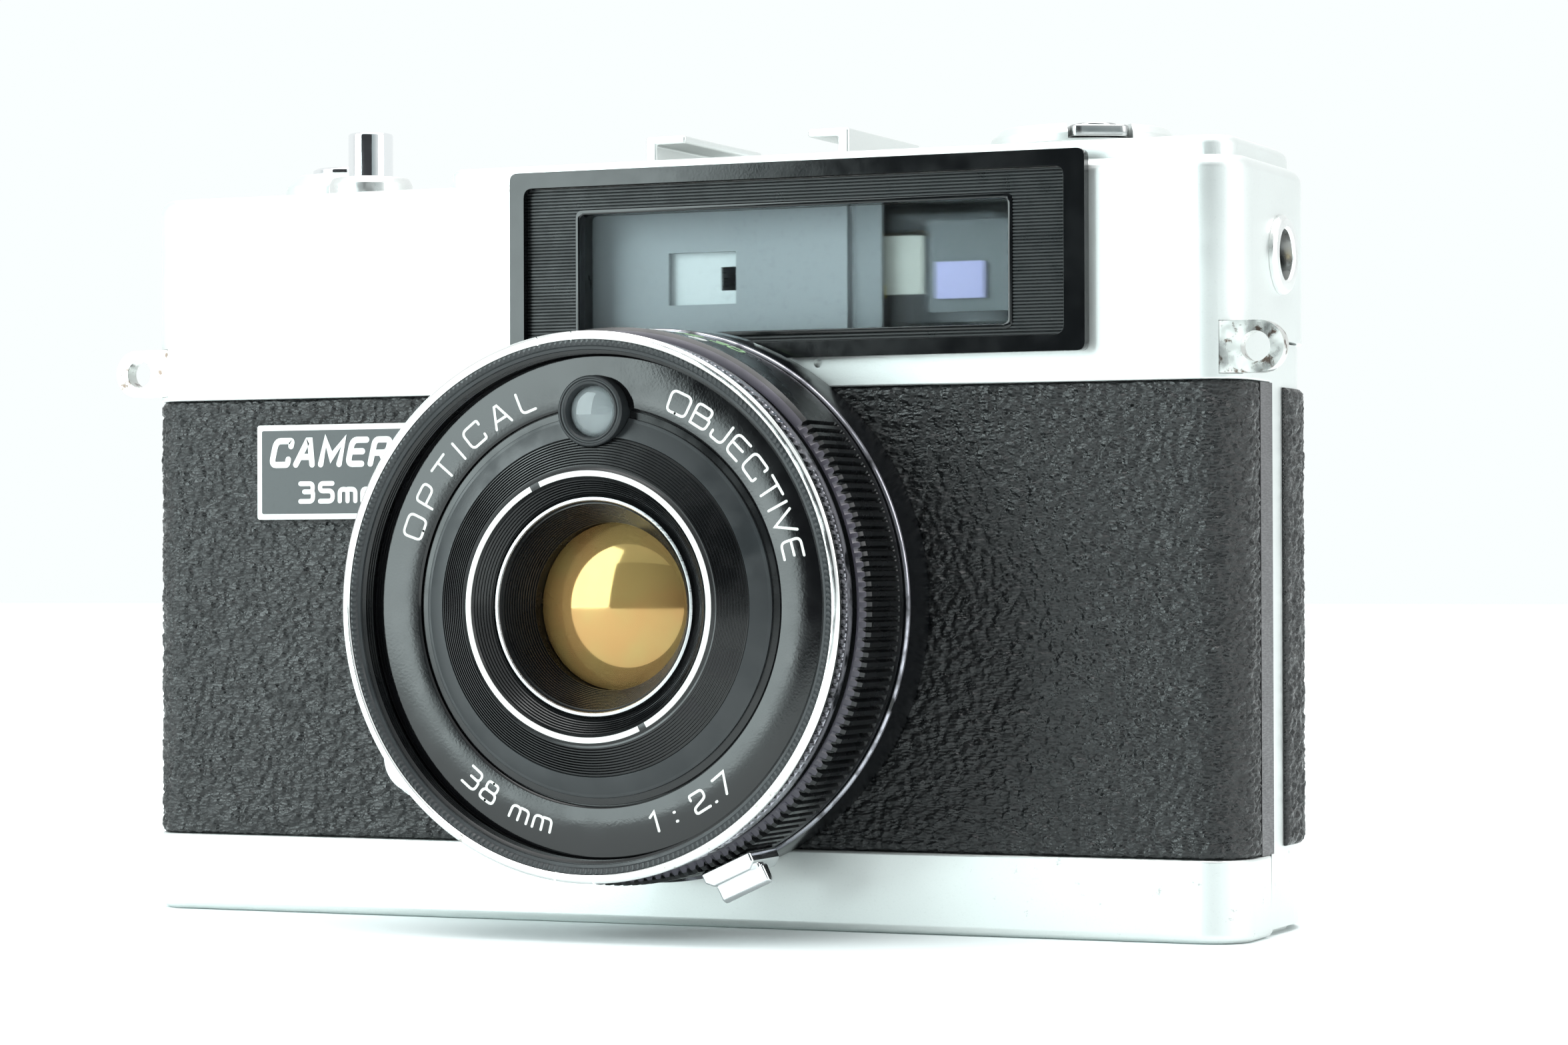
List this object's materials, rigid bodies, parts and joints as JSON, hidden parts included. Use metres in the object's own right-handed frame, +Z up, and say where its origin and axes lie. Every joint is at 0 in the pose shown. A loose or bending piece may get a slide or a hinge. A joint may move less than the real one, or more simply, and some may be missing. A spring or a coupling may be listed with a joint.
{
  "type": "rangefinder camera",
  "caption": "Compact 35 mm film rangefinder camera with a fixed lens, wide black finder window, silver covers, black leatherette and a hinged back.",
  "frame": {"origin": "centre of the tripod socket's mouth, in the flat base", "axes": "+X along the body to the right as seen from the front, -Y out of the lens, +Z up"},
  "size_m": [0.1194, 0.0543, 0.0761],
  "materials": {
    "satin_silver": "satin anodised, fine grain, light wear at the corners",
    "chrome": "bright plated",
    "leatherette": "coarse crinkled black leatherette",
    "black_plastic": "moulded, satin",
    "black_metal": "semi-gloss black lacquer",
    "gloss_black": "gloss black lacquer",
    "die_casting": "matte die casting, blackened inside",
    "steel": "plain machined steel",
    "dark_steel": "blackened steel",
    "brass": "turned brass",
    "foam": "light seal foam",
    "clear_glass": "clear polished",
    "coated_glass": "amber coated",
    "violet_glass": "violet coated",
    "frosted": "frosted grey",
    "nameplate_field": "matte enamel with bright edge",
    "ivory_plastic": "printed dial",
    "sensor": "light cell"
  },
  "bodies": {
    "camera": {"body_casting": "die_casting", "chassis_floor": "die_casting", "chassis_roof": "die_casting", "bottom_cover": "satin_silver", "top_cover": "satin_silver", "front_leatherette": "leatherette", "light_seals": "foam", "cover_screws": "steel", "hinge_pin": "steel", "finder_frame": "black_plastic", "finder_glass": "clear_glass", "frame_mask": "frosted", "finder_lens": "clear_glass", "beam_splitter": "violet_glass", "eyepiece_bezel": "black_plastic", "eyepiece_lens": "clear_glass", "accessory_shoe": "chrome", "strap_lugs": "chrome", "sync_socket": "chrome", "sync_contact": "brass", "nameplate": "nameplate_field", "shutter_collar": "chrome", "button_spring": "steel", "counter_window": "clear_glass", "lens_base": "black_metal", "galvanometer": "steel", "battery": "steel", "tripod_socket": "steel"},
    "door": {"back_door": "satin_silver", "door_leatherette": "leatherette", "pressure_spring": "steel"},
    "film_pressure_plate": {"pressure_plate": "dark_steel"},
    "latch": {"door_latch": "steel"},
    "rewind": {"rewind_shaft": "steel", "rewind_knob": "chrome"},
    "crank": {"rewind_crank": "chrome"},
    "rangefinder": {"rangefinder_arm": "steel"},
    "self_timer": {"self_timer_lever": "chrome"},
    "release": {"shutter_button": "chrome"},
    "counter": {"counter_dial": "ivory_plastic"},
    "wind": {"wind_lever": "chrome", "wind_cap": "chrome"},
    "spool": {"take_up_spool": "black_plastic"},
    "sprocket_drum": {"sprocket": "steel"},
    "focus": {"focus_ring": "black_metal", "focus_tab": "chrome"},
    "lens_unit": {"shutter_housing": "black_metal", "front_barrel": "black_metal", "chrome_rim": "chrome", "name_ring": "gloss_black", "lens_cell": "black_metal", "front_element": "coated_glass", "rear_element": "coated_glass", "meter_bezel": "black_metal", "meter_glass": "clear_glass", "meter_cell": "sensor"},
    "film_speed": {"film_speed_ring": "black_metal"},
    "blade_upper": {"upper_blade": "dark_steel"},
    "blade_lower": {"lower_blade": "dark_steel"},
    "needle": {"meter_needle": "steel"},
    "battery_lid": {"battery_cover": "chrome"},
    "rewind_release": {"rewind_button": "chrome"}
  },
  "joints": [
    {"name": "door_hinge", "type": "hinge", "parent": "camera", "child": "door", "pos_m": [-0.0553, -0.0051, 0.027], "axis": [0, 0, 1], "range_deg": [0, 100]},
    {"name": "plate_travel", "type": "slide", "parent": "door", "child": "film_pressure_plate", "axis": [0, 1, 0], "range_m": [0, 0.0005], "stiffness_N_per_m": 1500},
    {"name": "latch_lift", "type": "slide", "parent": "camera", "child": "latch", "axis": [0, 0, 1], "range_m": [0, 0.006], "stiffness_N_per_m": 300},
    {"name": "rewind_spin", "type": "hinge", "parent": "latch", "child": "rewind", "pos_m": [0.0365, -0.0005, 0.06], "axis": [0, 0, 1], "continuous": true},
    {"name": "crank_fold", "type": "hinge", "parent": "rewind", "child": "crank", "pos_m": [0.03505, 0.00201, 0.07295], "axis": [-0.866, -0.5, 0], "range_deg": [0, 180]},
    {"name": "focus_turn", "type": "hinge", "parent": "camera", "child": "focus", "pos_m": [0.0013, -0.024, 0.0298], "axis": [0, 1, 0], "range_deg": [0, 75]},
    {"name": "lens_extend", "type": "slide", "parent": "camera", "child": "lens_unit", "axis": [0, -1, 0], "range_m": [0, 0.0014]},
    {"name": "rangefinder_swing", "type": "hinge", "parent": "camera", "child": "rangefinder", "pos_m": [0.003, -0.006, 0.06], "axis": [0, 0, 1], "range_deg": [0, 5]},
    {"name": "film_speed_turn", "type": "hinge", "parent": "lens_unit", "child": "film_speed", "pos_m": [0.0013, -0.0317, 0.0298], "axis": [0, 1, 0], "range_deg": [0, 60]},
    {"name": "upper_blade_swing", "type": "hinge", "parent": "lens_unit", "child": "blade_upper", "pos_m": [0.0113, -0.0201, 0.0368], "axis": [0, 1, 0], "range_deg": [0, 45]},
    {"name": "lower_blade_swing", "type": "hinge", "parent": "lens_unit", "child": "blade_lower", "pos_m": [-0.0087, -0.0206, 0.0228], "axis": [0, 1, 0], "range_deg": [0, 45]},
    {"name": "self_timer_swing", "type": "hinge", "parent": "camera", "child": "self_timer", "pos_m": [-0.0248, -0.0165, 0.0153], "axis": [0, -1, 0], "range_deg": [0, 95]},
    {"name": "release_press", "type": "slide", "parent": "camera", "child": "release", "axis": [0, 0, -1], "range_m": [0, 0.002], "stiffness_N_per_m": 250, "deforming": ["button_spring"]},
    {"name": "wind_stroke", "type": "hinge", "parent": "camera", "child": "wind", "pos_m": [-0.0445, 0.0045, 0.071], "axis": [0, 0, 1], "range_deg": [0, 130], "stiffness_Nm_per_rad": 0.01},
    {"name": "counter_turn", "type": "hinge", "parent": "camera", "child": "counter", "pos_m": [-0.0145, 0.001, 0.0688], "axis": [0, 0, 1], "range_deg": [0, 320]},
    {"name": "sprocket_spin", "type": "hinge", "parent": "camera", "child": "sprocket_drum", "pos_m": [-0.0245, 0.006, 0.03], "axis": [0, 0, 1], "continuous": true},
    {"name": "spool_spin", "type": "hinge", "parent": "camera", "child": "spool", "pos_m": [-0.041, -0.001, 0.03], "axis": [0, 0, 1], "continuous": true},
    {"name": "needle_swing", "type": "hinge", "parent": "camera", "child": "needle", "pos_m": [0.012, -0.001, 0.064], "axis": [0, 0, -1], "range_deg": [0, 13], "stiffness_Nm_per_rad": 0.00001},
    {"name": "battery_cover_turn", "type": "hinge", "parent": "camera", "child": "battery_lid", "pos_m": [0.019, 0.0055, 0.0008], "axis": [0, 0, -1], "range_deg": [0, 90]},
    {"name": "rewind_release_press", "type": "slide", "parent": "camera", "child": "rewind_release", "axis": [0, 0, 1], "range_m": [0, 0.001], "stiffness_N_per_m": 150}
  ],
  "couplings": [
    {"joint": "lens_extend", "follows": "focus_turn", "m_per_rad": 0.00106},
    {"joint": "rangefinder_swing", "follows": "focus_turn", "ratio": 0.0533},
    {"joint": "lower_blade_swing", "follows": "upper_blade_swing", "ratio": 1},
    {"joint": "spool_spin", "follows": "sprocket_spin", "ratio": 1.08}
  ]
}
